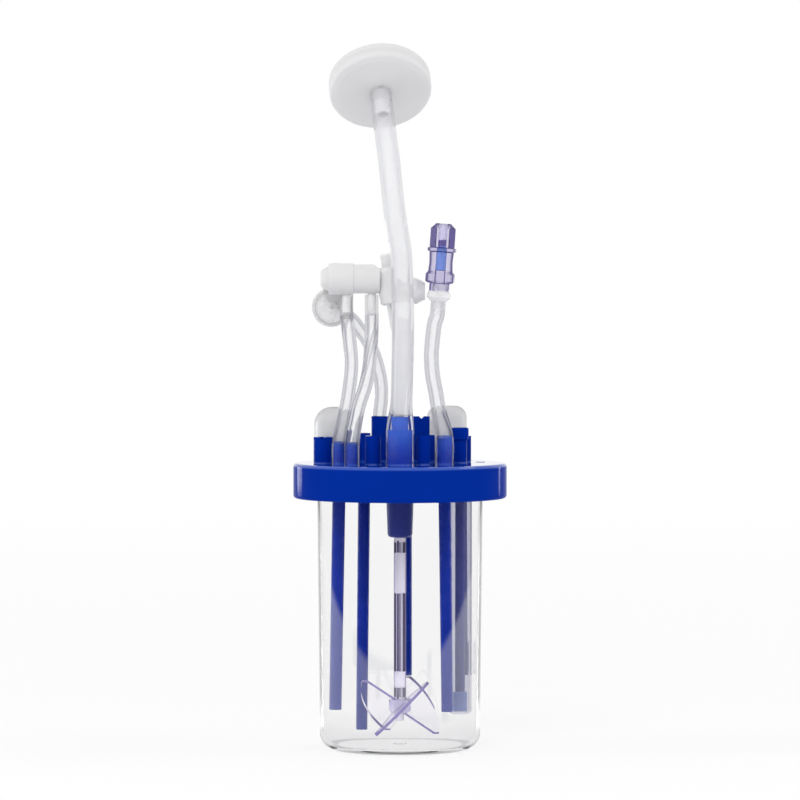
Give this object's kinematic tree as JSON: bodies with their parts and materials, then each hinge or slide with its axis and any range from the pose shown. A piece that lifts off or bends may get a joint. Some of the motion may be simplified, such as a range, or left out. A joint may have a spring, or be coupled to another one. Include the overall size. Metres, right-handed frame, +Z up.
{
  "type": "bench bioreactor",
  "caption": "Bench bioreactor: clear cup with a blue ported head plate, dip tubes, magnet driven stirrer, clear hoses, disc filters and a sampling valve.",
  "frame": {"origin": "on the stirrer's axis at the vessel's flat underside", "axes": "+Z up along the stirrer's axis, -Y to the front where the exhaust hose stands, +X to the side of the sampling valve"},
  "size_m": [0.0856, 0.0854, 0.2824],
  "materials": {
    "clear_plastic": "clear, gloss",
    "plate_blue": "gloss",
    "hub_blue": "satin",
    "tube_blue": "satin",
    "sensor_blue": "satin",
    "seal_rubber": "matte",
    "bearing_white": "matte",
    "carrier_grey": "matte",
    "magnet_steel": "plated",
    "clear_violet": "clear tinted, gloss",
    "cap_frosted": "frosted",
    "hose_clear": "clear",
    "filter_white": "frosted",
    "membrane_white": "matte",
    "fitting_natural": "frosted",
    "valve_violet": "clear tinted, gloss",
    "piston_blue": "satin"
  },
  "bodies": {
    "reactor": {"vessel": "clear_plastic", "vessel_seal": "seal_rubber", "head_plate": "plate_blue", "bearing_hub": "hub_blue", "upper_bearing": "bearing_white", "lower_bearing": "bearing_white", "harvest_tube": "tube_blue", "long_dip_tube": "tube_blue", "feed_tube": "tube_blue", "sampling_tube": "tube_blue", "thermowell": "tube_blue", "sensor_sleeve": "clear_plastic", "sensor_core": "tube_blue", "sensor_tip": "sensor_blue", "sensor_port_cap": "plate_blue", "left_port_cap": "cap_frosted", "right_port_cap": "cap_frosted", "exhaust_hose": "hose_clear", "exhaust_filter_base": "filter_white", "exhaust_filter_cover": "filter_white", "exhaust_membrane": "membrane_white", "harvest_hose": "hose_clear", "overlay_hose": "hose_clear", "inlet_hose": "hose_clear", "feed_hose": "hose_clear", "sampling_hose": "hose_clear", "manifold_body": "fitting_natural", "manifold_end_plug": "fitting_natural", "manifold_tee": "fitting_natural", "tee_plug": "fitting_natural", "branch_cap": "fitting_natural", "inlet_filter_base": "fitting_natural", "inlet_filter_cover": "fitting_natural", "inlet_membrane": "membrane_white", "valve_fitting": "fitting_natural", "valve_body": "valve_violet", "valve_cap": "valve_violet"},
    "rotor": {"magnet_carrier": "carrier_grey", "coupling_magnets": "magnet_steel", "shaft": "clear_violet", "impeller": "clear_violet"},
    "plunger": {"valve_piston": "piston_blue"}
  },
  "joints": [
    {"name": "impeller_spin", "type": "hinge", "parent": "reactor", "child": "rotor", "pos_m": [0, 0, 0], "axis": [0, 0, 1], "continuous": true},
    {"name": "valve_press", "type": "slide", "parent": "reactor", "child": "plunger", "axis": [-0.0698, 0, -0.9976], "range_m": [0, 0.004], "stiffness_N_per_m": 800, "springref_m": -0.002}
  ]
}
